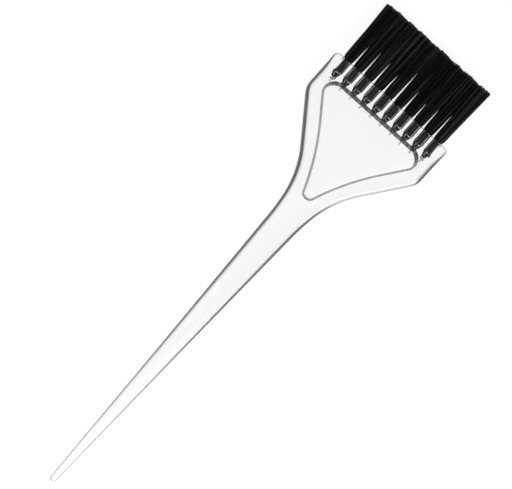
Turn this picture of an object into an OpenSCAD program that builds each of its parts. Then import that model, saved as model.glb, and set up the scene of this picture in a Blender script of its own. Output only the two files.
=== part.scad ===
// Hair tint brush: one clear moulded handle that holds a row of black bristle tufts.
// The brush lies on its flat back. Its bristles point along +Y, +Z is up, and the
// origin is on the resting surface, under the middle of its length and width.
// Each tuft is folded over a flat metal anchor in the bottom of a blind socket.

/* [Brush] */
// Length of the whole brush, from the tip of the tail to the ends of the bristles
overall_length = 220; // [214:1:228]
// Length of the bristles that stands out of the head
bristle_length = 26.9; // [22:0.1:30]

/* [Head] */
// Width of the head between its straight sides
head_width = 56.6; // [55.6:0.2:60]
// Thickness of the head and of the neck below it
head_thickness = 6.5; // [6:0.1:8]
// Length of the straight sides, down to the line where the slopes would meet them
head_side_length = 17.6; // [16:0.1:19]
// Angle between a sloping side of the head and the axis of the brush
slope_angle = 36.6; // [35:0.1:38]
// Radius of the two corners beside the bristles
head_corner_radius = 2; // [0.6:0.1:2]
// Radius between a sloping side and a straight side
shoulder_radius = 8; // [3:0.5:10]

/* [Neck and tail] */
// Width where the lines of the neck and of the slopes would meet
neck_width = 17.5; // [16.5:0.1:18.5]
// Radius of the flare from the neck into a sloping side
flare_radius = 41; // [30:1:42]
// Distance from the line of the neck down to the line of the tail's root
neck_length = 15.6; // [15.2:0.1:18]
// Width of the tail at its root, just below the neck
tail_root_width = 13.1; // [12:0.1:14]
// Width of the tail half way between its root and its tip
tail_middle_width = 7.6; // [7:0.1:8.2]
// Width of the tail at its tip
tail_tip_width = 2.6; // [2.2:0.1:3.4]
// Thickness of the tail at its tip
tail_tip_thickness = 2.6; // [2.2:0.1:3.4]
// Distance from the tip to the place where the tail reaches its full thickness
tail_taper_length = 116; // [90:1:120]

/* [Window] */
// Width of plastic between the window and the end of the head
window_land = 8.4; // [8.2:0.1:9]
// Width of the rails between the window and the sloping sides
rail_width = 6.7; // [6:0.1:7.2]
// Length of the window along the brush
window_length = 40.8; // [38:0.2:42]
// Width of the window's narrow end between its corners
window_foot_width = 3.4; // [3.2:0.1:4.2]
// Radius of the two wide corners of the window
window_corner_radius = 4.4; // [2:0.1:5.5]
// Thickness of the thin web that closes the window
web_thickness = 1.6; // [1.6:0.1:2.6]

/* [Tufts] */
// Number of tufts in the row
tuft_count = 10; // [6:1:10]
// Distance between the middles of two neighbouring tufts at the head
tuft_pitch = 5.1; // [4.9:0.05:5.2]
// Diameter of a socket's straight bore
socket_diameter = 4.3; // [3.6:0.1:4.3]
// Depth of a socket's straight bore
socket_depth = 5.5; // [4.6:0.1:5.6]
// Thickness of a bundle at its free end, across the row
tuft_end_thickness = 6.2; // [5.4:0.1:6.4]
// Extra width of the two outermost tufts at their free ends, away from the row
edge_flare = 0.9; // [0:0.1:1.2]

/* [Anchors] */
// Thickness of the flat metal anchor
anchor_thickness = 0.5; // [0.3:0.05:0.6]
// Width of the anchor, whose edges bite into the plastic round the pilot bore
anchor_width = 3.4; // [3:0.1:4]
// Length of the anchor along the socket
anchor_length = 2.6; // [2:0.1:3]

/* [Hidden] */
function numbered(name, i) = str(name, i < 10 ? "_0" : "_", i);

$fn = 48;
bundle_facets = 32;
arc_error = 0.01;
overcut = 1;

// Distances along the brush are measured from the tip of the tail.
head_top = overall_length - bristle_length;
shoulder_y = head_top - head_side_length;
neck_y = shoulder_y - (head_width - neck_width) / 2 / tan(slope_angle);
tail_root_y = neck_y - neck_length;
window_top = head_top - window_land;
window_foot = window_top - window_length;
window_knee = window_foot + 14.6;

tail_root_radius = 80;
tail_middle_radius = 900;
tip_radius = 1.05;
window_foot_radius = 2;
window_knee_radius = 100;

// A socket narrows below its bore to a pilot bore, which stops short of the window.
// A thin stem and a needle hole run on from it into the web.
mouth_chamfer = 0.2;
cone_length = 1;
pilot_diameter = 2.7;
pilot_wall = 0.4;
stem_diameter = 0.9;
stem_length = 1.4;
needle_diameter = 0.5;
needle_length = 1.2;
cone_depth = socket_depth + cone_length;
pilot_depth = window_land - pilot_wall;
stem_depth = pilot_depth + stem_length;
fold_room = 0.5;
anchor_depth = pilot_depth - fold_room;
anchor_offset = -0.6;
bundle_clearance = 0.05;
bundle_gap = 0.1;
bundle_rim = 0.2;
bundle_radius = socket_diameter / 2 - bundle_clearance;
bundle_end_radius = (tuft_pitch - bundle_gap) / 2;

ejector_diameter = 3.4;
ejector_depth = 0.15;
ejector_inset = 4.6;
ejector_below_neck = 29.1;

function unit(v) = v / norm(v);
function place(p) = [p[0], p[1]];

// The arc that rounds the corner p between its neighbours a and b.
function corner_arc(a, p, b, radius) =
    let(
        to_a = unit(a - p),
        to_b = unit(b - p),
        half_angle = acos(to_a * to_b) / 2,
        centre = p + unit(to_a + to_b) * radius / sin(half_angle),
        start = p + to_a * radius / tan(half_angle) - centre,
        side = cross(to_a, to_b) < 0 ? 1 : -1,
        turn = 180 - 2 * half_angle,
        steps = max(2, ceil(turn / (2 * acos(1 - arc_error / radius)))))
    [for (k = [0:steps])
        let(angle = side * turn * k / steps)
        centre + [
            start[0] * cos(angle) - start[1] * sin(angle),
            start[0] * sin(angle) + start[1] * cos(angle)]];

// A closed outline with every corner [x, y, radius] rounded.
function rounded(corners) =
    let(n = len(corners))
    [for (i = [0:n - 1])
        each corner_arc(
            place(corners[(i + n - 1) % n]), place(corners[i]),
            place(corners[(i + 1) % n]), corners[i][2])];

// The corners of the right-hand side, followed by their mirror images.
function both_sides(corners) = concat(
    corners,
    [for (i = [len(corners) - 1:-1:0]) [-corners[i][0], corners[i][1], corners[i][2]]]);

// Half the width between the two slopes of the head at a distance along the brush.
function slope_x(y) = neck_width / 2 + (y - neck_y) * tan(slope_angle);

function window_x(y) = slope_x(y) - rail_width / cos(slope_angle);

handle_corners = [
    [tail_tip_width / 2, 0, tip_radius],
    [tail_middle_width / 2, tail_root_y / 2, tail_middle_radius],
    [tail_root_width / 2, tail_root_y, tail_root_radius],
    [neck_width / 2, neck_y, flare_radius],
    [head_width / 2, shoulder_y, shoulder_radius],
    [head_width / 2, head_top, head_corner_radius]];

window_corners = [
    [window_foot_width / 2, window_foot, window_foot_radius],
    [window_x(window_knee), window_knee, window_knee_radius],
    [window_x(window_top), window_top, window_corner_radius]];

side_profile = [
    [0, -tail_tip_thickness / 2],
    [tail_taper_length, -head_thickness / 2],
    [head_top, -head_thickness / 2],
    [head_top, head_thickness / 2],
    [tail_taper_length, head_thickness / 2],
    [0, tail_tip_thickness / 2]];

function tuft_x(i) = (i - (tuft_count + 1) / 2) * tuft_pitch;

// Puts a shape drawn about the middle plane of the brush, from the tail's tip, in its place.
module in_brush() {
    translate([0, -overall_length / 2, head_thickness / 2]) children();
}

// Stands a shape drawn along +Z on the end of the head, in line with tuft i.
module at_socket(i) {
    translate([tuft_x(i), head_top, 0]) rotate([-90, 0, 0]) children();
}

module slab(outline, low, high) {
    translate([0, 0, low]) linear_extrude(high - low) polygon(outline);
}

module tapered_blank() {
    intersection() {
        slab(rounded(both_sides(handle_corners)), -head_thickness / 2, head_thickness / 2);
        translate([-head_width / 2, 0, 0]) rotate([90, 0, 90])
            linear_extrude(head_width) polygon(side_profile);
    }
}

// The recess on each side of the web.
module window_recesses() {
    outline = rounded(both_sides(window_corners));
    slab(outline, web_thickness / 2, head_thickness);
    slab(outline, -head_thickness, -web_thickness / 2);
}

module socket() {
    rotate_extrude() polygon([
        [0, overcut],
        [socket_diameter / 2 + mouth_chamfer, overcut],
        [socket_diameter / 2 + mouth_chamfer, 0],
        [socket_diameter / 2, -mouth_chamfer],
        [socket_diameter / 2, -socket_depth],
        [pilot_diameter / 2, -cone_depth],
        [pilot_diameter / 2, -pilot_depth],
        [stem_diameter / 2, -pilot_depth],
        [stem_diameter / 2, -stem_depth],
        [needle_diameter / 2, -stem_depth],
        [needle_diameter / 2, -stem_depth - needle_length],
        [0, -stem_depth - needle_length]]);
}

module anchor_plate() {
    translate([anchor_offset - anchor_thickness / 2, -anchor_width / 2, -anchor_depth])
        cube([anchor_thickness, anchor_width, anchor_length]);
}

// Shallow round marks left by the mould's ejector pins.
module ejector_marks() {
    translate([0, neck_y - ejector_below_neck, head_thickness / 2 - ejector_depth])
        cylinder(d = ejector_diameter, h = overcut);
    translate([0, window_foot + ejector_inset, web_thickness / 2 - ejector_depth])
        cylinder(d = ejector_diameter, h = overcut);
}

module bundle_root() {
    fold_radius = pilot_diameter / 2 - bundle_clearance;
    rotate_extrude() polygon([
        [0, 0],
        [bundle_radius, 0],
        [bundle_radius, -socket_depth],
        [fold_radius, -cone_depth],
        [fold_radius, bundle_clearance - pilot_depth],
        [0, bundle_clearance - pilot_depth]]);
}

// The free bristles, from a round bundle at the socket to a wider flat end.
module bundle_fan(flare_left, flare_right) {
    end_spread = tuft_end_thickness / 2 - bundle_end_radius;
    hull() {
        cylinder(r = bundle_radius, h = bundle_rim, $fn = bundle_facets);
        for (shift = [-flare_left, flare_right], side = [-1, 1])
            translate([shift, side * end_spread, bristle_length - bundle_rim])
                cylinder(r = bundle_end_radius, h = bundle_rim, $fn = bundle_facets);
    }
}

module handle() {
    color([0.86, 0.9, 0.92, 0.45]) in_brush() difference() {
        tapered_blank();
        window_recesses();
        ejector_marks();
        for (i = [1:tuft_count]) at_socket(i) {
            socket();
            anchor_plate();
        }
    }
}

module tuft(i) {
    color([0.07, 0.07, 0.08]) in_brush() at_socket(i) difference() {
        union() {
            bundle_root();
            bundle_fan(i == 1 ? edge_flare : 0, i == tuft_count ? edge_flare : 0);
        }
        anchor_plate();
    }
}

module anchor(i) {
    color([0.75, 0.74, 0.7]) in_brush() at_socket(i) anchor_plate();
}

handle();
for (i = [1:tuft_count])
    tuft(i);
for (i = [1:tuft_count])
    anchor(i);
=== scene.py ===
"""Hair tint brush: a clear moulded handle with ten tufts of black nylon bristles.

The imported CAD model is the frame: it gives the length, the width, the thickness and the row
of sockets. This script gives the handle its rounded edges, its drafted window and its open
sockets, and turns each tuft's plain solid into a bundle of folded bristles.
Shapes are drawn in millimetres from the tip of the tail, about the middle plane of the brush,
and are put in their place in metres when a mesh is made.
"""
from math import acos, ceil, cos, pi, radians, sin, sqrt, tan

import bmesh
import bpy
import numpy as np
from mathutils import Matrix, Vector


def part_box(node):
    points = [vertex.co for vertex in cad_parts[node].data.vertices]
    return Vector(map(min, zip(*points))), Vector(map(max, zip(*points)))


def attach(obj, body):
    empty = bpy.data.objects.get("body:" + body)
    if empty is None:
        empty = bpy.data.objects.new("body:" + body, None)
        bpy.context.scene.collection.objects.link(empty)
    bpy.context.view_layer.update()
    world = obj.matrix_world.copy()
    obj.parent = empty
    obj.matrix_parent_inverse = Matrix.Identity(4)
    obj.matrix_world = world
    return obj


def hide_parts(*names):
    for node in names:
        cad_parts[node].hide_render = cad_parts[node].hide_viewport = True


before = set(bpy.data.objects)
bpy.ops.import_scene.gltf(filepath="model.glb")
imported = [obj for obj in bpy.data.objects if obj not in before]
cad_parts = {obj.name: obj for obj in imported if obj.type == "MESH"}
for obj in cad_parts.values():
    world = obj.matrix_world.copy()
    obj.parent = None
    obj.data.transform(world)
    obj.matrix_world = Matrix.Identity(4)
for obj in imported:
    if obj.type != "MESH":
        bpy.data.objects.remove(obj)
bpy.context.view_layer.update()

MM = 0.001

# ------------------------------------------------------------------ sizes from the frame

HANDLE_LOW, HANDLE_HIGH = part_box("handle")
TUFTS = sorted(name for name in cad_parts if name.startswith("tuft_"))
ANCHORS = sorted(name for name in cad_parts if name.startswith("anchor_"))
TAIL_TIP = HANDLE_LOW.y / MM
HEAD_TOP = HANDLE_HIGH.y / MM - TAIL_TIP
HEAD_WIDTH = (HANDLE_HIGH.x - HANDLE_LOW.x) / MM
THICKNESS = HANDLE_HIGH.z / MM
MIDDLE = THICKNESS / 2
FREE_LENGTH = (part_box(TUFTS[0])[1].y - HANDLE_HIGH.y) / MM
PITCH = (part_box(ANCHORS[-1])[0].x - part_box(ANCHORS[0])[0].x) / MM / (len(ANCHORS) - 1)
ANCHOR_FOOT = (HANDLE_HIGH.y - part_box(ANCHORS[0])[0].y) / MM
ANCHOR_TOP = (HANDLE_HIGH.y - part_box(ANCHORS[0])[1].y) / MM
FIRST_SOCKET_X = -PITCH * (len(TUFTS) - 1) / 2
ANCHOR_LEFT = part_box(ANCHORS[0])[0].x / MM - FIRST_SOCKET_X
ANCHOR_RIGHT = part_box(ANCHORS[0])[1].x / MM - FIRST_SOCKET_X

# ------------------------------------------------------------------ the handle's own sizes

HEAD_SIDE = 17.6            # straight sides of the head
SLOPE = radians(36.6)       # between a sloping side and the axis
HEAD_CORNER_RADIUS = 2
SHOULDER_RADIUS = 8         # between a sloping side and a straight side
NECK_WIDTH = 17.5
NECK_LENGTH = 15.6
FLARE_RADIUS = 41           # from the neck into a sloping side
TAIL_ROOT_WIDTH = 13.1
TAIL_ROOT_RADIUS = 80
TAIL_MIDDLE_WIDTH = 7.6
TAIL_MIDDLE_RADIUS = 900
TAIL_TIP_WIDTH = 2.6
TAIL_TIP_RADIUS = 1.05
TAIL_TIP_THICKNESS = 2.6
TAIL_TAPER = 104            # where the line of the taper meets the full thickness
TAPER_BLEND = 12            # it eases into it from this far before to this far beyond
RAIL = 6.7                  # plastic between the window and a sloping side
WINDOW_LAND = 8.4           # plastic between the window and the end of the head
WINDOW_LENGTH = 40.8
WINDOW_CORNER_RADIUS = 4.4
WINDOW_FOOT = 3.4
WINDOW_FOOT_RADIUS = 2
WINDOW_KNEE = 14.6          # where the window's sides bend, above its foot
WINDOW_KNEE_RADIUS = 100
WEB = 1.6

SHOULDER_Y = HEAD_TOP - HEAD_SIDE
NECK_Y = SHOULDER_Y - (HEAD_WIDTH - NECK_WIDTH) / 2 / tan(SLOPE)
TAIL_ROOT_Y = NECK_Y - NECK_LENGTH
WINDOW_TOP_Y = HEAD_TOP - WINDOW_LAND
WINDOW_FOOT_Y = WINDOW_TOP_Y - WINDOW_LENGTH
FULL_THICKNESS_Y = TAIL_TAPER + TAPER_BLEND

# Sockets: bore, cone, pilot bore, stem and needle hole, each to its depth below the head's end.
BORE_RADIUS = 2.15
MOUTH_CHAMFER = 0.15
BORE_DEPTH = 5.5
CONE_DEPTH = 6.5
PILOT_RADIUS = 1.35
PILOT_DEPTH = 8.0
STEM_RADIUS = 0.45
STEM_DEPTH = 9.4
NEEDLE_RADIUS = 0.25
NEEDLE_DEPTH = 10.6
NEEDLE_TIP_RADIUS = 0.05
NEEDLE_ROUND = 0.2          # length of the needle hole's rounded tip

# Roundings and slants of the moulding.
END_ROUND = 0.85            # rounding of the edges round the end of the head
END_LENGTH = 9              # how far down the head that rounding grows to the usual one
SIDE_ROUND = 0.8            # rounding of the other edges, as a share of half the thickness
RIM_ROUND = 0.45            # rounding of the window's rim
COVE = 1.1                  # hollow between the window's wall and the web
WALL_SHIFT = 0.28           # how far the slanting walls stand outside the window's drawn line
WALL_WIDTH = 0.65           # width of the slanting walls, as a share of the top wall's
WINDOW_DRAFT = 0.3          # lean of the window's wall between its rim and its cove

# Shallow round marks left by the mould's ejector pins: one on the tail, one on the web.
EJECTOR_RADIUS = 1.7
EJECTOR_DEPTH = 0.12
EJECTOR_SHOULDER = 0.7      # depth of the mark's wall, as a share of its depth
EJECTOR_WALL = 0.06         # how far the wall leans in
EJECTOR_ROUND = 0.2         # how far in the floor starts
EJECTORS = ((NECK_Y - 29.1, MIDDLE), (WINDOW_FOOT_Y + 4.6, WEB / 2))

# Fineness of the handle's mesh.
ARC_STEP = radians(3)       # a rounded corner has a point at least this often
ARC_SPACING = 1.5           # and at least at this distance
OUTLINE_SPACING = 2
WINDOW_SPACING = 0.4
ROUND_STEPS = 9             # steps across each rounded edge
CIRCLE_STEPS = 40
CONE_STEPS = 6
PILOT_END_STEPS = 8
NEEDLE_END_STEPS = 3
SHARP_ANGLE = radians(32)   # edges that bend more than this stay sharp
ON_END = 1e-6               # points this near the head's end are on it
MERGE_DISTANCE = 2e-6       # in metres: nearer points are one
DEGENERATE = 1e-7           # in metres: smaller faces are dissolved

# ------------------------------------------------------------------ painted shade on the clear plastic

# Clear plastic over a pale floor shows hardly any outline, so its dark outlines are painted: the
# mesh holds a fixed strength of painted shade at each point, from 0 where it is clear to about 1
# where it is painted darkest.
# Painted shade along the handle's rounded edges.
EDGE_SHADE = 0.71             # along the handle's edge at the tip of the tail
EDGE_GAIN = 0.33            # how much it grows up the brush
EDGE_GAIN_Y = (0, 180)
RIGHT_LOSS = 0.05           # how much weaker it is on the right-hand side
MOUTH_SHARE = 0.74          # its share left across the sockets' mouths
MOUTH_DEPTHS = (-0.2, 1.8)
SLOPE_GAIN = 0.16           # how much stronger it is on edges that face the tail
SLOPE_FACING = (0.1, 0.5)
# Painted light: edges that face this way, the foot of the camera's view, get less painted shade,
# as if lit from that side.
LIT_DIRECTION = np.array([0.668, -0.744])  # the foot of the photograph, whose edges look lighter
LIT_LOSS = 0.48
LIT_FACING = (0.7, 0.98)
FLANK_CLEAR = 0.06          # the flank stays clear up to this share of the edge's rounding
# Painted shade down the window's walls.
WALL_SHADE = 0.6              # down the window's walls
TOP_WALL_GAIN = 0.055       # how much stronger it is down the top wall
TOP_WALL_FACING = (-0.2, 0.8)
UNDERSIDE_SHARE = 0.5       # its share left on the underside
WALL_FADE = 2               # how fast it fades in round the wall's rim and its cove
# The web's colour is drawn a little greyer than the rest.
WEB_GREYING = 0.03             # the web is a little less clear than the rest
# Painted highlights, light streaks on the window's top wall beside each socket: place, width and
# strength.
GLINTS = ((-1.15, 0.6, 0.14), (1.1, 0.5, 0.07))
# Painted shade on the sockets' walls, part by part, and below, the depths over which it changes.
BORE_SHADE = 0.545            # on the walls of a socket, at its bore, cone, pilot and needle hole
CONE_SHADE = 0.55
PILOT_SHADE = 0.05
NEEDLE_SHADE = 0.5
CONE_SHADE_DEPTHS = (5, 6.5)
PILOT_SHADE_DEPTHS = (6.8, 7.8)
NEEDLE_SHADE_DEPTHS = (STEM_DEPTH - 0.5, STEM_DEPTH + 0.5)
# Painted shade on the ejector marks' walls.
EJECTOR_SHADE = 0.12

# ------------------------------------------------------------------ meshes


def new_object(name, vertices, faces):
    """A mesh object from vertices in drawing millimetres, put in its place in metres."""
    placed = np.asarray(vertices, float) + (0, TAIL_TIP, MIDDLE)
    mesh = bpy.data.meshes.new(name)
    mesh.from_pydata((placed * MM).tolist(), [], faces)
    mesh.polygons.foreach_set("use_smooth", [True] * len(mesh.polygons))
    mesh.update()
    made = bpy.data.objects.new(name, mesh)
    bpy.context.scene.collection.objects.link(made)
    return made


def ease(value, start, end):
    """Rises smoothly from 0 at the start to 1 at the end."""
    share = np.clip((value - start) / (end - start), 0, 1)
    return share * share * (3 - 2 * share)


def quarter_turn(steps):
    """Angles from 0 to a right angle, in equal steps."""
    return [pi / 2 * k / steps for k in range(steps + 1)]


def socket_x(number):
    return FIRST_SOCKET_X + number * PITCH


# ------------------------------------------------------------------ outlines


def corner_arc(before, corner, after, radius):
    """Points of the arc that rounds a corner, with the outward direction at each."""
    p = np.array(corner, float)
    to_a = np.array(before, float) - p
    to_b = np.array(after, float) - p
    to_a /= np.linalg.norm(to_a)
    to_b /= np.linalg.norm(to_b)
    half = acos(float(np.clip(to_a @ to_b, -1, 1))) / 2
    inward = (to_a + to_b) / np.linalg.norm(to_a + to_b)
    centre = p + inward * radius / sin(half)
    first = p + to_a * radius / tan(half) - centre
    side = 1 if to_a[0] * to_b[1] - to_a[1] * to_b[0] < 0 else -1
    turn = pi - 2 * half
    steps = max(2, ceil(turn / ARC_STEP), ceil(turn * radius / ARC_SPACING))
    points = []
    for k in range(steps + 1):
        angle = side * turn * k / steps
        arm = np.array([
            first[0] * cos(angle) - first[1] * sin(angle),
            first[0] * sin(angle) + first[1] * cos(angle)])
        points.append((centre + arm, arm / radius * side))
    return points


def rounded_outline(right_side, spacing):
    """A closed outline from the corners (x, y, radius) of its right-hand side, run upwards.

    Returns points and outward directions, anticlockwise. Straight stretches are split so that
    no two points are further apart than the spacing.
    """
    left_side = [(-x, y, radius) for x, y, radius in reversed(right_side)]
    corners = right_side + left_side
    count = len(corners)
    arcs = [
        corner_arc(corners[i - 1][:2], corners[i][:2], corners[(i + 1) % count][:2], corners[i][2])
        for i in range(count)]
    points = []
    for i, arc in enumerate(arcs):
        points += arc
        here, there = arc[-1], arcs[(i + 1) % count][0]
        gap = np.linalg.norm(there[0] - here[0])
        parts = max(1, ceil(gap / spacing))
        for k in range(1, parts):
            points.append((here[0] + (there[0] - here[0]) * k / parts, here[1]))
    places = np.array([p for p, _ in points])
    outward = np.array([n for _, n in points])
    return places, outward


def slope_x(y):
    """Half the width between the two slopes of the head."""
    return NECK_WIDTH / 2 + (y - NECK_Y) * tan(SLOPE)


def window_x(y):
    return slope_x(y) - RAIL / cos(SLOPE)


def handle_outline():
    return rounded_outline([
        (TAIL_TIP_WIDTH / 2, 0, TAIL_TIP_RADIUS),
        (TAIL_MIDDLE_WIDTH / 2, TAIL_ROOT_Y / 2, TAIL_MIDDLE_RADIUS),
        (TAIL_ROOT_WIDTH / 2, TAIL_ROOT_Y, TAIL_ROOT_RADIUS),
        (NECK_WIDTH / 2, NECK_Y, FLARE_RADIUS),
        (HEAD_WIDTH / 2, SHOULDER_Y, SHOULDER_RADIUS),
        (HEAD_WIDTH / 2, HEAD_TOP, HEAD_CORNER_RADIUS)], OUTLINE_SPACING)


def window_outline():
    knee = WINDOW_FOOT_Y + WINDOW_KNEE
    return rounded_outline([
        (WINDOW_FOOT / 2, WINDOW_FOOT_Y, WINDOW_FOOT_RADIUS),
        (window_x(knee), knee, WINDOW_KNEE_RADIUS),
        (window_x(WINDOW_TOP_Y), WINDOW_TOP_Y, WINDOW_CORNER_RADIUS)], WINDOW_SPACING)


# ------------------------------------------------------------------ the handle


class Shell:
    """Vertices and faces of the handle, collected ring by ring."""

    def __init__(self):
        self.vertices = []
        self.faces = []
        self.rim = []

    def ring(self, points, rim=0.0):
        """Adds a closed ring of points. rim is the painted shade of the plastic at each."""
        start = len(self.vertices)
        self.vertices += [tuple(p) for p in points]
        self.rim += list(np.broadcast_to(rim, len(points)))
        return list(range(start, start + len(points)))

    def band(self, lower, upper, skip=()):
        """Quads between two rings of equal length."""
        count = len(lower)
        for i in range(count):
            if i not in skip:
                j = (i + 1) % count
                self.faces.append((lower[i], lower[j], upper[j], upper[i]))

    def fill(self, loops):
        """Triangles over a flat region bounded by closed loops: an outline and its holes."""
        fill = bmesh.new()
        made = {}
        for loop in loops:
            for i in loop:
                made[i] = fill.verts.new(self.vertices[i])
        back = {vert: i for i, vert in made.items()}
        edges = [
            fill.edges.new((made[loop[k - 1]], made[loop[k]]))
            for loop in loops for k in range(len(loop))]
        result = bmesh.ops.triangle_fill(fill, use_beauty=True, use_dissolve=False, edges=edges)
        for item in result["geom"]:
            if isinstance(item, bmesh.types.BMFace):
                self.faces.append(tuple(back[v] for v in item.verts))
        fill.free()


def half_thickness(y):
    """Half the handle's thickness: it tapers to the tip of the tail."""
    tip = TAIL_TIP_THICKNESS / 2
    slope = (MIDDLE - tip) / TAIL_TAPER
    left = np.maximum(FULL_THICKNESS_Y - y, 0)
    eased = MIDDLE - slope * left ** 2 / (4 * TAPER_BLEND)
    return np.where(y < TAIL_TAPER - TAPER_BLEND, tip + slope * y, eased)


def edge_radius(y):
    """Radius of the handle's rounded edges: small round the sockets, fuller elsewhere."""
    full = SIDE_ROUND * half_thickness(y)
    return END_ROUND + (full - END_ROUND) * ease(HEAD_TOP - y, 0, END_LENGTH)


def painted_rim_shade(places, outward):
    """How dark the rounded edge looks round the outline.

    It is painted shade: fullest on the slopes, weaker on the slim tail and across the sockets'
    mouths, and weakest, as painted light, where the edge faces the foot of the camera's view.
    """
    y = places[:, 1]
    along = EDGE_SHADE + EDGE_GAIN * ease(y, *EDGE_GAIN_Y)
    along *= 1 - RIGHT_LOSS * np.maximum(outward[:, 0], 0)
    mouths = MOUTH_SHARE + (1 - MOUTH_SHARE) * ease(HEAD_TOP - y, *MOUTH_DEPTHS)
    slopes = 1 + SLOPE_GAIN * ease(-outward[:, 1], *SLOPE_FACING)
    lit = ease(outward @ LIT_DIRECTION, *LIT_FACING)
    return along * mouths * slopes * (1 - LIT_LOSS * lit)


def outer_rings(shell, places, outward):
    """The rounded sides of the handle, as rings from its upper face down to its lower one."""
    radius = edge_radius(places[:, 1])
    strength = painted_rim_shade(places, outward)
    lifts = quarter_turn(ROUND_STEPS)
    rings = []
    for side, side_lifts in ((1, reversed(lifts)), (-1, lifts)):
        for lift in side_lifts:
            inset = radius * (1 - cos(lift))
            at = places - outward * inset[:, None]
            z = side * (half_thickness(at[:, 1]) - radius * (1 - sin(lift)))
            # Painted shade lies only on the upper rounding, fading in from the flank; the lower
            # edge stays clear.
            shade = cos(lift) * ease(1 - cos(lift), 0, FLANK_CLEAR) if side > 0 else 0
            rings.append(shell.ring(np.column_stack([at, z]), shade * strength))
    return rings


def circle(shell, x, y, z, radius, axis="z", rim=0.0):
    """A ring about an axis through (x, y, z), along z or y."""
    angles = np.arange(CIRCLE_STEPS) * 2 * pi / CIRCLE_STEPS
    first, second = radius * np.cos(angles), radius * np.sin(angles)
    if axis == "z":
        points = np.column_stack([x + first, y + second, np.full(CIRCLE_STEPS, z)])
    else:
        points = np.column_stack([x + first, np.full(CIRCLE_STEPS, y), z + second])
    return shell.ring(points, rim)


def add_ejector_mark(shell, y, z):
    """A shallow round recess. Returns its rim, which is a hole in the face round it."""
    rim = circle(shell, 0, y, z, EJECTOR_RADIUS)
    # The mark's shoulder ring carries a faint painted shade that outlines the mark.
    shoulder = circle(
        shell, 0, y, z - EJECTOR_DEPTH * EJECTOR_SHOULDER, EJECTOR_RADIUS - EJECTOR_WALL,
        rim=EJECTOR_SHADE)
    floor = circle(shell, 0, y, z - EJECTOR_DEPTH, EJECTOR_RADIUS - EJECTOR_ROUND)
    shell.band(shoulder, rim)
    shell.band(floor, shoulder)
    shell.fill([floor])
    return rim


def window_shade(places, outward, side):
    """How much painted shade the window's wall gets at each point round it on one side of the web,
    with painted highlights on its top wall beside the sockets.
    """
    across_top = ease(outward[:, 1], *TOP_WALL_FACING)
    shade = WALL_SHADE + TOP_WALL_GAIN * across_top
    shade *= 1 if side > 0 else UNDERSIDE_SHARE
    # Painted highlights: the shade is made lighter on the top wall beside each socket.
    for place, width, strength in GLINTS:
        nearest = (places[:, 0] - FIRST_SOCKET_X - place + PITCH / 2) % PITCH - PITCH / 2
        shade *= 1 - strength * np.exp(-(nearest / width) ** 2) * (across_top > 0.99)
    return shade


def window_rings(shell, side):
    """The wall of the window on one side of the web. Returns its rim and the web's border."""
    places, outward = window_outline()
    across_top = ease(outward[:, 1], *TOP_WALL_FACING)
    width = WALL_WIDTH + (1 - WALL_WIDTH) * across_top
    shift = WALL_SHIFT * (1 - across_top)
    shade = window_shade(places, outward, side)
    depth = MIDDLE - WEB / 2
    rings = []
    for turn in quarter_turn(ROUND_STEPS):
        offset = RIM_ROUND * (1 - sin(turn)) + WINDOW_DRAFT / 2
        height = depth - RIM_ROUND * (1 - cos(turn))
        rings.append((offset, height, shade * min(1, WALL_FADE * sin(turn))))
    for turn in quarter_turn(ROUND_STEPS):
        offset = COVE * cos(turn) - COVE - WINDOW_DRAFT / 2
        height = COVE * (1 - sin(turn))
        faded = (shade - WEB_GREYING) * min(1, WALL_FADE * cos(turn))
        rings.append((offset, height, WEB_GREYING + faded))
    made = []
    for offset, height, rim in rings:
        at = places + outward * (offset * width + shift)[:, None]
        z = np.full(len(at), side * (WEB / 2 + height))
        made.append(shell.ring(np.column_stack([at, z]), rim))
    for upper, lower in zip(made, made[1:]):
        shell.band(lower, upper)
    return made[0], made[-1]


def cavity_radius(depth):
    """Radius of the room for bristles in a socket, at a depth below the head's end."""
    radius = BORE_RADIUS + (PILOT_RADIUS - BORE_RADIUS) * ease(depth, BORE_DEPTH, CONE_DEPTH)
    return np.where(depth > PILOT_DEPTH, STEM_RADIUS, radius)


def socket_profile():
    """Radius and depth down the wall of a socket, with its corners rounded."""
    profile = [(BORE_RADIUS + MOUTH_CHAMFER, 0), (BORE_RADIUS, MOUTH_CHAMFER),
               (BORE_RADIUS, BORE_DEPTH)]
    for k in range(1, CONE_STEPS + 1):
        depth = BORE_DEPTH + (CONE_DEPTH - BORE_DEPTH) * k / CONE_STEPS
        profile.append((float(cavity_radius(depth)), depth))
    # The pilot bore ends in an ogive that narrows to the stem's radius where the stem ends.
    for turn in quarter_turn(PILOT_END_STEPS):
        profile.append((STEM_RADIUS + (PILOT_RADIUS - STEM_RADIUS) * cos(turn),
                        PILOT_DEPTH + (STEM_DEPTH - PILOT_DEPTH) * sin(turn)))
    for turn in quarter_turn(NEEDLE_END_STEPS):
        profile.append((NEEDLE_TIP_RADIUS + (NEEDLE_RADIUS - NEEDLE_TIP_RADIUS) * cos(turn),
                        NEEDLE_DEPTH - NEEDLE_ROUND * (1 - sin(turn))))
    return profile


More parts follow.
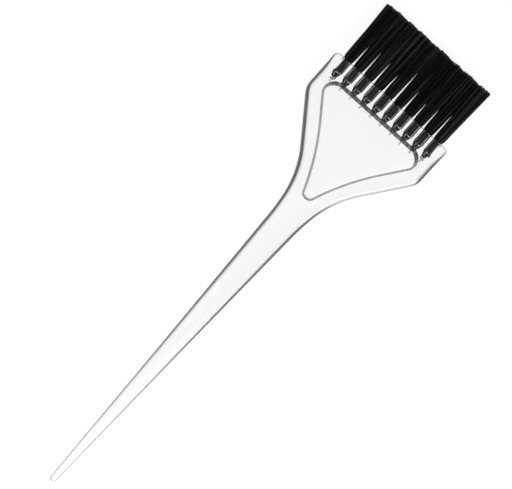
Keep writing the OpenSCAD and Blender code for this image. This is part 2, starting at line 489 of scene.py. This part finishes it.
def add_socket(shell, x):
    """The cavity of one socket. Returns the rim of its mouth in the head's end."""
    rings = []
    for radius, depth in socket_profile():
        # Painted shade down the socket's wall: strong at the bore and cone, slight at the pilot
        # bore, strong again at the needle hole.
        rim = BORE_SHADE + (CONE_SHADE - BORE_SHADE) * ease(depth, *CONE_SHADE_DEPTHS)
        rim += (PILOT_SHADE - CONE_SHADE) * ease(depth, *PILOT_SHADE_DEPTHS)
        rim += (NEEDLE_SHADE - PILOT_SHADE) * ease(depth, *NEEDLE_SHADE_DEPTHS)
        rings.append(circle(shell, x, HEAD_TOP - depth, 0, radius, axis="y", rim=rim))
    for outer, inner in zip(rings, rings[1:]):
        shell.band(inner, outer)
    shell.fill([rings[-1]])
    return rings[0]


def add_face(shell, border, side, y):
    """The upper or lower face: rungs across the tapering tail, and a filled flat part.

    border is the face's outline and y holds how far up the brush each of its points is.
    """
    window_rim, web_rim = window_rings(shell, side)
    holes = [window_rim]
    web_holes = []
    if side > 0:
        holes.append(add_ejector_mark(shell, *EJECTORS[0]))
        web_holes.append(add_ejector_mark(shell, *EJECTORS[1]))
    shell.fill([web_rim] + web_holes)
    count = len(border)
    rungs = sum(1 for i in range(count // 2) if y[i] < FULL_THICKNESS_Y)
    for i in range(rungs):
        j = count - 1 - i
        shell.faces.append((border[i], border[i + 1], border[j - 1], border[j]))
    shell.fill([border[rungs:count - rungs]] + holes)


def build_handle():
    """The whole handle as one closed mesh, with its rounded edges, window and sockets."""
    shell = Shell()
    places, outward = handle_outline()
    rings = outer_rings(shell, places, outward)
    wall_top, wall_bottom = rings[ROUND_STEPS], rings[ROUND_STEPS + 1]

    # The flat end of the head is filled round the sockets, so the wall's quads leave it open.
    count = len(places)
    at_end = places[:, 1] > HEAD_TOP - ON_END
    on_end = [i for i in range(count) if at_end[i] and at_end[(i + 1) % count]]
    for number, (upper, lower) in enumerate(zip(rings, rings[1:])):
        skip = set(on_end) if number == ROUND_STEPS else ()
        shell.band(lower, upper, skip)
    ends = on_end + [(on_end[-1] + 1) % count]
    border = [wall_top[i] for i in ends] + [wall_bottom[i] for i in reversed(ends)]
    mouths = [add_socket(shell, socket_x(number)) for number in range(len(TUFTS))]
    shell.fill([border] + mouths)

    add_face(shell, rings[0], 1, places[:, 1])
    add_face(shell, rings[-1], -1, places[:, 1])

    handle = new_object("handle_moulding", shell.vertices, shell.faces)
    # The painted shade of each point goes into the mesh as its rim attribute, which the plastic's
    # colour reads.
    rim = handle.data.attributes.new("rim", "FLOAT", "POINT")
    rim.data.foreach_set("value", np.array(shell.rim, np.float32))
    finish_surface(handle)
    return handle


def finish_surface(piece):
    """Closes seams, turns every face outwards and keeps true edges sharp."""
    mesh = bmesh.new()
    mesh.from_mesh(piece.data)
    bmesh.ops.remove_doubles(mesh, verts=mesh.verts, dist=MERGE_DISTANCE)
    bmesh.ops.dissolve_degenerate(mesh, edges=mesh.edges, dist=DEGENERATE)
    bmesh.ops.recalc_face_normals(mesh, faces=mesh.faces)
    for edge in mesh.edges:
        if len(edge.link_faces) == 2:
            edge.smooth = edge.calc_face_angle() < SHARP_ANGLE
    mesh.to_mesh(piece.data)
    mesh.free()
    weigh = piece.modifiers.new("flat faces stay flat", "WEIGHTED_NORMAL")
    weigh.mode = "FACE_AREA"
    weigh.weight = 100
    weigh.keep_sharp = True


# ------------------------------------------------------------------ the tufts

HAIRS = 76                  # folded hairs in a tuft: each gives two bristles
HAIR_RADIUS = 0.13
HAIR_SIDES = 6
LEG_RINGS = 18              # rings along each leg of a folded hair
LEG_RING_POWER = 0.9        # below 1, they stand closer together towards the fold
FOLD_RINGS = 11             # rings round its fold

# The bundle: its widths inside and above the socket.
BUNDLE_CLEARANCE = 0.22     # between a hair's middle and the wall of its socket
LEAST_SPREAD = 0.12         # half width of a tuft where its socket is narrowest
BULGE = 0.22                # how far a tuft swells where it comes out of its socket
FAN = 0.036                 # how fast it widens above that
FAN_SPREAD = (0.75, 1.3)    # least and most that a side of a tuft takes of that
INNER_SPREAD = 2.62         # half width at which a tuft meets its neighbours
OUTER_SPREAD = 3.45         # half width of the first and last tufts on their free side
DEPTH_SPREAD = 2.95         # half thickness of a tuft at its free end
SPREAD_BLEND = 0.12         # how softly the widening stops there
SQUARING = 0.8              # how far a round bundle turns square towards its free end
EDGE_FILLING = 0.5          # how far its bristles crowd towards its two sides there
ROOT_FILLING = 0.4          # the share of that crowding that they have in the socket
FACE_GAP = 0.05             # least distance between a bristle and the brush's upper or lower plane

# In the end sockets the hairs crowd to the inner wall and leave a gap along the outer one.
FIRST_CROWD = -0.6
LAST_CROWD = 1.0
CROWD_NARROWING = 0.16
CROWD_SHIFT = 0.3
CROWD_DEPTHS = (-1.5, 1.5)

# The fold round the anchor.
ANCHOR_GAP = 0.02           # between a hair and the anchor
BESIDE_ANCHOR = (ANCHOR_TOP - 1, ANCHOR_TOP + 0.5)  # depths over which the legs part round it
FOLD_OFFSET = 0.15          # the folds' middle, beside the socket's
LEAST_BEND = 0.05           # least half width of a fold squeezed into the stem hole
LEAST_ROOM = 0.1
DEEP_FOLDS = 0.4            # share of the hairs whose fold dips into the stem hole
DEEP_DROP = (0.8, 1.6)
SHALLOW_DROP = 0.18         # how far the other folds dip, and how much more at the sides
SIDE_DROP = 0.2

# Unevenness.
RAGGED = 0.3                # of the bristles' ends
CLUMPING = 0.4              # of the ends, from one clump to the next
CLUMP_ACROSS = 2.6          # how fast clumps follow each other across a tuft, and up it
CLUMP_UP = 1.3
CORNER_WEAR = 0.9           # how far the bristles of the first corner are worn down
JITTER = 0.035              # of a leg's place in the bundle, as a share of its half width
WANDER = 0.16               # how far a bristle strays from straight
WANDER_TURN = (1.5, 4.5)    # how much of a wave it makes on the way
RANDOM = np.random.default_rng(20)


def disc_places(count):
    """Evenly spread places in the right-hand half of a unit disc, as (across, up) pairs."""
    golden = pi * (3 - sqrt(5))
    number = np.arange(2 * count) + 0.5
    radius = np.sqrt(number / (2 * count))
    spiral = np.column_stack([radius * np.cos(number * golden), radius * np.sin(number * golden)])
    spiral = spiral[np.argsort(-spiral[:, 0])]
    half = spiral[:count]
    half[:, 0] = np.abs(half[:, 0])
    return half


def spread(height, limit, fan=FAN):
    """Half width of a tuft at a height above the head's end: it widens to a limit."""
    inside = np.maximum(cavity_radius(-height) - BUNDLE_CLEARANCE, LEAST_SPREAD)
    free = BORE_RADIUS - BUNDLE_CLEARANCE + BULGE * ease(height, 0, 1) + fan * height
    free = free - SPREAD_BLEND * np.logaddexp(0, (free - limit) / SPREAD_BLEND)
    return np.where(height > 0, free, inside)


def leg_path(place, side, crowd, fans, sway, end):
    """One leg of a folded hair, from its free end down to the start of its fold.

    place is the leg's place in the bundle, and side is 1 for the right-hand leg. crowd says how
    far, and to which side, the tuft leaves its socket's outer wall.
    """
    share = np.linspace(0, 1, LEG_RINGS)
    y = end + (HEAD_TOP - ANCHOR_FOOT - end) * share ** LEG_RING_POWER
    height = y - HEAD_TOP
    free = ease(height, 0, FREE_LENGTH)
    filling = EDGE_FILLING * (ROOT_FILLING + (1 - ROOT_FILLING) * free)
    across = side * (place[0] + filling * (np.sin(pi / 2 * place[0]) - place[0]))
    limit = OUTER_SPREAD if crowd * side > 0 else INNER_SPREAD
    wide = spread(height, limit, fans[side])
    deep = spread(height, DEPTH_SPREAD)
    inside = ease(-height, *CROWD_DEPTHS)
    x = across * wide * (1 - CROWD_NARROWING * abs(crowd) * inside) - CROWD_SHIFT * crowd * inside
    x *= np.sqrt(1 + SQUARING * free * place[1] ** 2)
    # Beside the anchor, each leg keeps to its own side of the plate.
    gap = HAIR_RADIUS + ANCHOR_GAP
    near, far = (ANCHOR_RIGHT + gap, wide) if side > 0 else (ANCHOR_LEFT - gap, -wide)
    x += (near + (far - near) * place[0] - x) * ease(-height, *BESIDE_ANCHOR)
    z = place[1] * deep * np.sqrt(1 + SQUARING * free * place[0] ** 2)
    x += sway[0] * np.sin(share * sway[2] + sway[3]) * free
    z += sway[1] * np.cos(share * sway[2] + sway[3]) * free
    most = MIDDLE - HAIR_RADIUS - FACE_GAP
    return np.column_stack([x, y, np.clip(z, -most, most)])


def hair_path(place, crowd, fans, clumps):
    """The middle line of a folded hair, from one free end to the other."""
    legs = []
    for side in (1, -1):
        jitter = RANDOM.normal(0, JITTER, 2)
        sway = (RANDOM.normal(0, WANDER), RANDOM.normal(0, WANDER),
                RANDOM.uniform(*WANDER_TURN), RANDOM.uniform(0, 2 * pi))
        wave = sin(clumps + CLUMP_ACROSS * side * place[0] + CLUMP_UP * place[1])
        short = CLUMPING * (1 + wave) / 2
        short += CORNER_WEAR * place[0] ** 2 * (crowd < 0 and side < 0)
        end = HEAD_TOP + FREE_LENGTH - short - abs(RANDOM.normal(0, RAGGED))
        legs.append(leg_path(np.clip(place + jitter, (0, -1), 1), side, crowd, fans, sway, end))
    right, left = legs
    turn = np.linspace(0, pi, FOLD_RINGS + 2)[1:-1]
    deep = RANDOM.random() < DEEP_FOLDS
    drop = RANDOM.uniform(*DEEP_DROP) if deep else SHALLOW_DROP + SIDE_DROP * place[0]
    middle = (right[-1] + left[-1]) / 2
    reach = (right[-1] - left[-1]) / 2
    fold = middle + reach * np.cos(turn)[:, None] - np.outer(np.sin(turn), (0, drop, 0))
    narrow = np.maximum(cavity_radius(HEAD_TOP - fold[:, 1]) - HAIR_RADIUS, LEAST_ROOM)
    # A squeezed fold keeps a bend of its own, so that no two of its points coincide.
    room = narrow - LEAST_BEND
    squeezed = np.clip(fold[:, 0], FOLD_OFFSET - room, FOLD_OFFSET + room)
    fold[:, 0] = squeezed + LEAST_BEND * np.cos(turn)
    fold[:, 2] = np.clip(fold[:, 2], -narrow, narrow)
    return np.vstack([right, fold, left[::-1]])


def tube_mesh(paths, radius):
    """Round tubes along paths of equal length, with flat ends, as vertices and faces."""
    count, rings, _ = paths.shape
    along = np.gradient(paths, axis=1)
    along /= np.linalg.norm(along, axis=2, keepdims=True)
    # The frame is carried along each path, so that a tube doesn't twist at its fold.
    first = np.cross(along[:, 0], (0.0, 0.0, 1.0))
    first /= np.linalg.norm(first, axis=1, keepdims=True)
    frames = [first]
    for k in range(1, rings):
        carried = frames[-1] - along[:, k] * np.sum(frames[-1] * along[:, k], 1, keepdims=True)
        frames.append(carried / np.linalg.norm(carried, axis=1, keepdims=True))
    normal = np.stack(frames, 1)
    binormal = np.cross(along, normal)
    angles = np.arange(HAIR_SIDES) * 2 * pi / HAIR_SIDES
    ring = (normal[:, :, None] * np.cos(angles)[:, None]
            + binormal[:, :, None] * np.sin(angles)[:, None])
    vertices = (paths[:, :, None] + ring * radius).reshape(-1, 3)
    start = np.arange(count)[:, None, None] * rings * HAIR_SIDES
    row = np.arange(rings - 1)[None, :, None] * HAIR_SIDES
    here = np.arange(HAIR_SIDES)[None, None, :]
    there = (here + 1) % HAIR_SIDES
    sides = np.stack([
        start + row + here, start + row + there,
        start + row + HAIR_SIDES + there, start + row + HAIR_SIDES + here], -1).reshape(-1, 4)
    base = np.arange(count)[:, None] * rings * HAIR_SIDES
    low_ends = (base + np.arange(HAIR_SIDES)[::-1]).tolist()
    high_ends = (base + (rings - 1) * HAIR_SIDES + np.arange(HAIR_SIDES)).tolist()
    return vertices, sides.tolist() + low_ends + high_ends


def build_tuft(number):
    """One tuft: folded hairs that fill its socket and fan out above it."""
    crowd = {0: FIRST_CROWD, len(TUFTS) - 1: LAST_CROWD}.get(number, 0)
    places = disc_places(HAIRS)
    fans = {side: FAN * RANDOM.uniform(*FAN_SPREAD) for side in (-1, 1)}
    clumps = RANDOM.uniform(0, 2 * pi)
    paths = np.array([hair_path(place, crowd, fans, clumps) for place in places])
    paths[:, :, 0] += socket_x(number)
    vertices, faces = tube_mesh(paths, HAIR_RADIUS)
    tuft = new_object(f"bristles_{number + 1:02d}", vertices, faces)
    shade = np.repeat(RANDOM.random(HAIRS), paths.shape[1] * HAIR_SIDES)
    attribute = tuft.data.attributes.new("shade", "FLOAT", "POINT")
    attribute.data.foreach_set("value", shade.astype(np.float32))
    return tuft


# ------------------------------------------------------------------ materials

# Greys of the colour ramps, as pairs of position and brightness.
# Greys for the painted shade of the clear plastic, from clear to darkest.
PAINTED_SHADE_GREYS = ((0.0, 1.0), (0.08, 0.955), (0.25, 0.88), (0.4, 0.68), (0.5, 0.36),
                 (0.58, 0.12), (0.66, 0.006))
NYLON_GREYS = ((0.0, 0.001), (0.4, 0.002), (0.7, 0.02), (1.0, 0.09))
STEEL_GREYS = ((0.25, 0.42), (0.75, 0.74))
NOISE_BODY = (0.3, 0.7)     # the range in which nearly all of a noise texture's values lie

PLASTIC_IOR = 1.58
CLOUDINESS = (-0.015, 0.02)  # added to how dark the plastic looks
SCRATCH_PEAKS = (0.66, 0.8)
SCRATCH_ROUGHNESS = (0.0, 0.16)
SCRATCH_SLANT = radians(14)
SCRATCH_STRETCH = (1900, 45, 1900)
SMUDGE_PEAKS = (0.35, 0.75)
SMUDGE_ROUGHNESS = (0.02, 0.055)

NYLON_STRETCH = (1400, 60, 700)
NYLON_STREAKS = 0.7         # how far a bristle's grey varies along it
NYLON_ROUGHNESS = (0.26, 0.42)
NYLON_SPECULAR = 0.2

ROLLING_STRETCH = (9000, 9000, 500)
STEEL_ROUGHNESS = (0.2, 0.42)


def node_material(name):
    material = bpy.data.materials.new(name)
    material.use_nodes = True
    tree = material.node_tree
    return material, tree, tree.nodes["Principled BSDF"]


def attribute_node(tree, name):
    """An Attribute node that reads a value held in the mesh."""
    made = tree.nodes.new("ShaderNodeAttribute")
    made.attribute_name = name
    return made


def noise(tree, scale, detail=3, roughness=0.5):
    """A noise texture in the piece's own metres, and the mapping node that stretches it."""
    place = tree.nodes.new("ShaderNodeTexCoord")
    mapping = tree.nodes.new("ShaderNodeMapping")
    texture = tree.nodes.new("ShaderNodeTexNoise")
    texture.inputs["Scale"].default_value = scale
    texture.inputs["Detail"].default_value = detail
    texture.inputs["Roughness"].default_value = roughness
    tree.links.new(place.outputs["Object"], mapping.inputs["Vector"])
    tree.links.new(mapping.outputs["Vector"], texture.inputs["Vector"])
    return texture, mapping


def grey_ramp(tree, value, steps):
    """A Color Ramp node of greys, from pairs of position and brightness."""
    ramp = tree.nodes.new("ShaderNodeValToRGB")
    elements = ramp.color_ramp.elements
    while len(elements) < len(steps):
        elements.new(0.5)
    for element, (position, grey) in zip(elements, steps):
        element.position = position
        element.color = (grey, grey, grey, 1)
    tree.links.new(value, ramp.inputs["Fac"])
    return ramp


def math_node(tree, operation, value, second=0.0):
    """A Math node of one linked value and one fixed number."""
    made = tree.nodes.new("ShaderNodeMath")
    made.operation = operation
    made.inputs[1].default_value = second
    tree.links.new(value, made.inputs[0])
    return made


def map_range(tree, value, source, target):
    """A Map Range node from one pair of limits to another."""
    made = tree.nodes.new("ShaderNodeMapRange")
    made.inputs["From Min"].default_value, made.inputs["From Max"].default_value = source
    made.inputs["To Min"].default_value, made.inputs["To Max"].default_value = target
    tree.links.new(value, made.inputs["Value"])
    return made


def add_bump(tree, shader, height, strength, distance):
    """Bumps the surface by a height texture. The distance is in metres."""
    bump = tree.nodes.new("ShaderNodeBump")
    bump.inputs["Strength"].default_value = strength
    bump.inputs["Distance"].default_value = distance
    tree.links.new(height, bump.inputs["Height"])
    tree.links.new(bump.outputs["Normal"], shader.inputs["Normal"])


def clear_plastic():
    """Clear styrene: painted shade from the mesh's rim attribute, faint clouds inside, smudges and
    scratches on it, and mould waviness.
    """
    material, tree, shader = node_material("clear_styrene")
    # Painted shade from the mesh, with faint clouds added, greys the base colour.
    rim = attribute_node(tree, "rim")
    clouds, _ = noise(tree, scale=90, detail=4)
    haze = map_range(tree, clouds.outputs["Fac"], NOISE_BODY, CLOUDINESS)
    painted_shade_and_clouds = math_node(tree, "ADD", rim.outputs["Fac"])
    tree.links.new(haze.outputs["Result"], painted_shade_and_clouds.inputs[1])
    ramp = grey_ramp(tree, painted_shade_and_clouds.outputs["Value"], PAINTED_SHADE_GREYS)
    tree.links.new(ramp.outputs["Color"], shader.inputs["Base Color"])
    smudges, _ = noise(tree, scale=70, detail=3)
    scratches, coordinates = noise(tree, scale=1.0, detail=2)
    coordinates.inputs["Rotation"].default_value = (0, 0, SCRATCH_SLANT)
    coordinates.inputs["Scale"].default_value = SCRATCH_STRETCH
    worn = map_range(tree, scratches.outputs["Fac"], SCRATCH_PEAKS, SCRATCH_ROUGHNESS)
    smeared = map_range(tree, smudges.outputs["Fac"], SMUDGE_PEAKS, SMUDGE_ROUGHNESS)
    rough = math_node(tree, "ADD", worn.outputs["Result"])
    tree.links.new(smeared.outputs["Result"], rough.inputs[1])
    tree.links.new(rough.outputs["Value"], shader.inputs["Roughness"])
    waves, _ = noise(tree, scale=260, detail=1)
    add_bump(tree, shader, waves.outputs["Fac"], strength=0.12, distance=0.0002)
    shader.inputs["IOR"].default_value = PLASTIC_IOR
    shader.inputs["Transmission Weight"].default_value = 1.0
    return material


def black_nylon():
    """Black nylon: each bristle has its own grey, with streaks along it."""
    material, tree, shader = node_material("black_nylon")
    shade = attribute_node(tree, "shade")
    streaks, coordinates = noise(tree, scale=1.0, detail=2)
    coordinates.inputs["Scale"].default_value = NYLON_STRETCH
    mix = math_node(tree, "MULTIPLY_ADD", streaks.outputs["Fac"], NYLON_STREAKS)
    tree.links.new(shade.outputs["Fac"], mix.inputs[2])
    centred = math_node(tree, "SUBTRACT", mix.outputs["Value"], NYLON_STREAKS / 2)
    ramp = grey_ramp(tree, centred.outputs["Value"], NYLON_GREYS)
    tree.links.new(ramp.outputs["Color"], shader.inputs["Base Color"])
    grain, _ = noise(tree, scale=900, detail=3)
    dull = map_range(tree, grain.outputs["Fac"], NOISE_BODY, NYLON_ROUGHNESS)
    tree.links.new(dull.outputs["Result"], shader.inputs["Roughness"])
    shader.inputs["Specular IOR Level"].default_value = NYLON_SPECULAR
    add_bump(tree, shader, grain.outputs["Fac"], strength=0.1, distance=0.00005)
    return material


def anchor_steel():
    """Rolled steel: marks along the strip, over a patchy dull film."""
    material, tree, shader = node_material("anchor_steel")
    shader.inputs["Metallic"].default_value = 1.0
    rolling, coordinates = noise(tree, scale=1.0, detail=4)
    coordinates.inputs["Scale"].default_value = ROLLING_STRETCH
    film, _ = noise(tree, scale=1400, detail=3)
    ramp = grey_ramp(tree, film.outputs["Fac"], STEEL_GREYS)
    tree.links.new(ramp.outputs["Color"], shader.inputs["Base Color"])
    dull = map_range(tree, rolling.outputs["Fac"], NOISE_BODY, STEEL_ROUGHNESS)
    tree.links.new(dull.outputs["Result"], shader.inputs["Roughness"])
    add_bump(tree, shader, rolling.outputs["Fac"], strength=0.25, distance=0.00002)
    return material


# ------------------------------------------------------------------ stage, lights and camera

# The stage is in metres.
FLOOR_REACH = 3.0
FLOOR_DROP = 0.0002         # between the brush's flat back and the floor
FLOOR_GREY = 0.4
FLOOR_GLOW = 0.89           # the rest of its brightness, which holds it at pure white
FLOOR_ROUGHNESS = 0.9
# Brightness of the studio from the horizon up: pale near the floor and darker overhead.
STUDIO_GREYS = ((0.0, 1.0), (0.12, 0.85), (0.4, 0.3), (0.8, 0.12))

VIEW_TURN = radians(41.95)  # the brush's axis stands at about 48 degrees in the picture
LENS = 180
SENSOR = 36
FAR_CLIP = 20
PICTURE_WIDTH = 193.9       # width of the view at the middle of the brush
CENTRE_X, CENTRE_Y = -2.14, 118.2


def build_stage():
    size = FLOOR_REACH
    mesh = bpy.data.meshes.new("floor")
    mesh.from_pydata(
        [(-size, -size, 0), (size, -size, 0), (size, size, 0), (-size, size, 0)],
        [], [(0, 1, 2, 3)])
    floor = bpy.data.objects.new("floor", mesh)
    floor.location.z = -FLOOR_DROP
    bpy.context.scene.collection.objects.link(floor)
    material, _, shader = node_material("pale_floor")
    shader.inputs["Base Color"].default_value = (FLOOR_GREY, FLOOR_GREY, FLOOR_GREY, 1)
    shader.inputs["Roughness"].default_value = FLOOR_ROUGHNESS
    shader.inputs["Emission Color"].default_value = (1, 1, 1, 1)
    shader.inputs["Emission Strength"].default_value = FLOOR_GLOW
    floor.data.materials.append(material)


def add_softbox(name, location, size, power):
    """A rectangular light that faces the middle of the brush."""
    light = bpy.data.lights.new(name, "AREA")
    light.shape = "RECTANGLE"
    light.size, light.size_y = size
    light.energy = power
    lamp = bpy.data.objects.new(name, light)
    lamp.location = location
    lamp.rotation_euler = (-Vector(location)).to_track_quat("-Z", "Y").to_euler()
    bpy.context.scene.collection.objects.link(lamp)


def build_light():
    world = bpy.data.worlds.new("studio")
    bpy.context.scene.world = world
    world.use_nodes = True
    tree = world.node_tree
    place = tree.nodes.new("ShaderNodeTexCoord")
    split = tree.nodes.new("ShaderNodeSeparateXYZ")
    tree.links.new(place.outputs["Generated"], split.inputs["Vector"])
    ramp = grey_ramp(tree, split.outputs["Z"], STUDIO_GREYS)
    tree.links.new(ramp.outputs["Color"], tree.nodes["Background"].inputs["Color"])
    add_softbox("overhead", location=(0.1, 0.0, 1.2), size=(1.2, 1.2), power=0.5)
    add_softbox("side", location=(0.75, -0.35, 0.5), size=(0.7, 0.45), power=5)


def build_camera():
    """The photograph's view: straight down, from far off, with the brush turned."""
    camera = bpy.data.cameras.new("camera")
    camera.lens = LENS
    camera.sensor_width = SENSOR
    camera.clip_end = FAR_CLIP
    eye = bpy.data.objects.new("camera", camera)
    distance = LENS / SENSOR * PICTURE_WIDTH
    eye.location = (CENTRE_X * MM, (CENTRE_Y + TAIL_TIP) * MM, (MIDDLE + distance) * MM)
    eye.rotation_euler = (0, 0, VIEW_TURN)
    bpy.context.scene.collection.objects.link(eye)
    bpy.context.scene.camera = eye
    bpy.context.scene.view_settings.view_transform = "Standard"


# ------------------------------------------------------------------ assembly

handle = build_handle()
handle.data.materials.append(clear_plastic())
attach(handle, "root")
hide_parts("handle")

steel = anchor_steel()
for name in ANCHORS:
    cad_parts[name].data.materials.clear()
    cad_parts[name].data.materials.append(steel)

nylon = black_nylon()
for number, name in enumerate(TUFTS):
    tuft = build_tuft(number)
    tuft.data.materials.append(nylon)
    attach(tuft, "root")
    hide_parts(name)

build_stage()
build_light()
build_camera()
